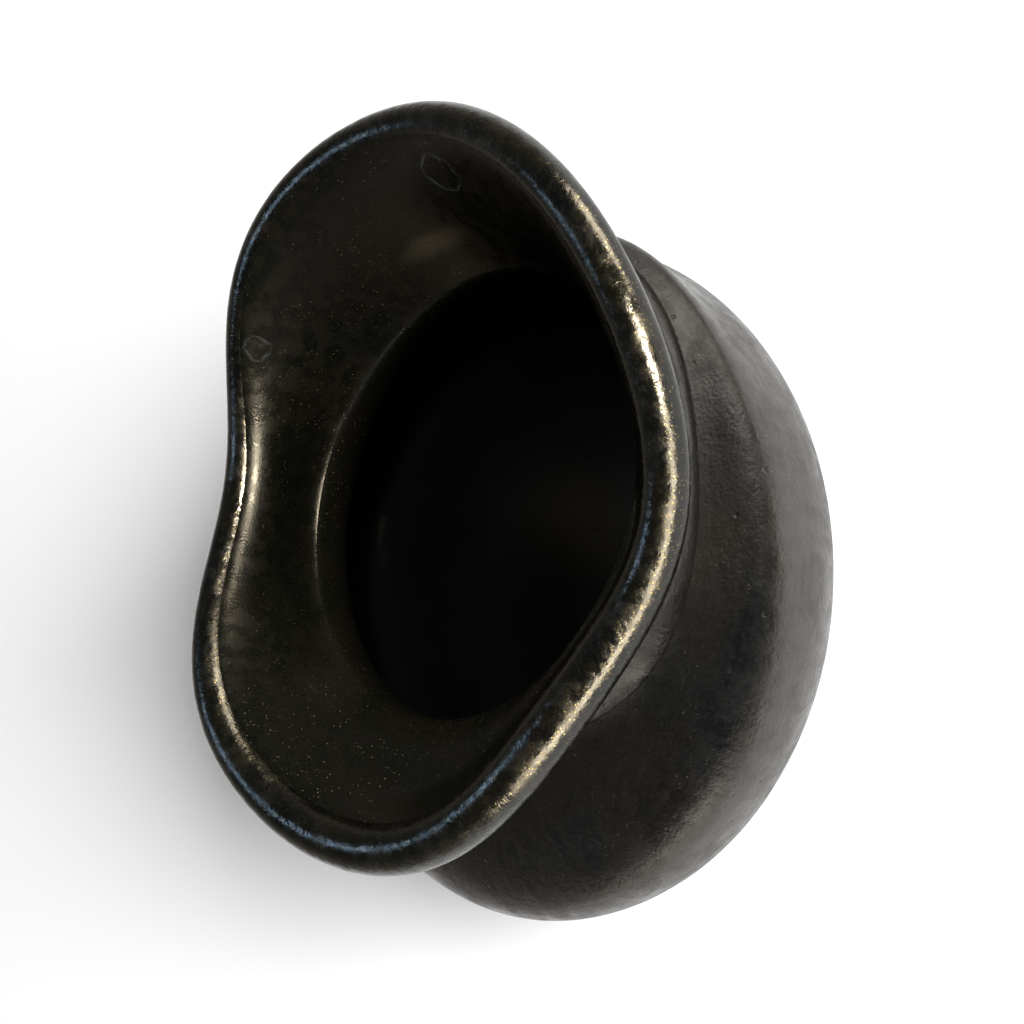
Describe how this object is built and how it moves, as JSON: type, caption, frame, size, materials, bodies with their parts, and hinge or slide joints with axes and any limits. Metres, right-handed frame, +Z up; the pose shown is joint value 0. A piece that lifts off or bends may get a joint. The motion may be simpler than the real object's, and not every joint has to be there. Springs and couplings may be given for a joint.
{
  "type": "black clay pot",
  "caption": "Squat round-bellied black clay pot with a flat foot, a short neck and a wide wavy flared mouth that ends in a thick rolled lip.",
  "frame": {"origin": "centre of the flat foot, on the table", "axes": "+Z up, -Y towards the lowest part of the wavy lip, +X towards the side that the mouth is pulled to"},
  "size_m": [0.132, 0.12, 0.0808],
  "materials": {
    "bare_clay": "matt, unburnished, slightly sandy",
    "burnished_clay": "satin, hand burnished in level strokes",
    "smoked_clay": "low satin with fine mica specks and faint water rings",
    "polished_lip": "semi-gloss, polished by burnishing and handling"
  },
  "bodies": {
    "root": {"foot_pad": "bare_clay", "lower_bowl": "burnished_clay", "shoulder": "burnished_clay", "neck_coil": "burnished_clay", "mouth_flare": "smoked_clay", "lip_roll": "polished_lip"}
  },
  "joints": []
}
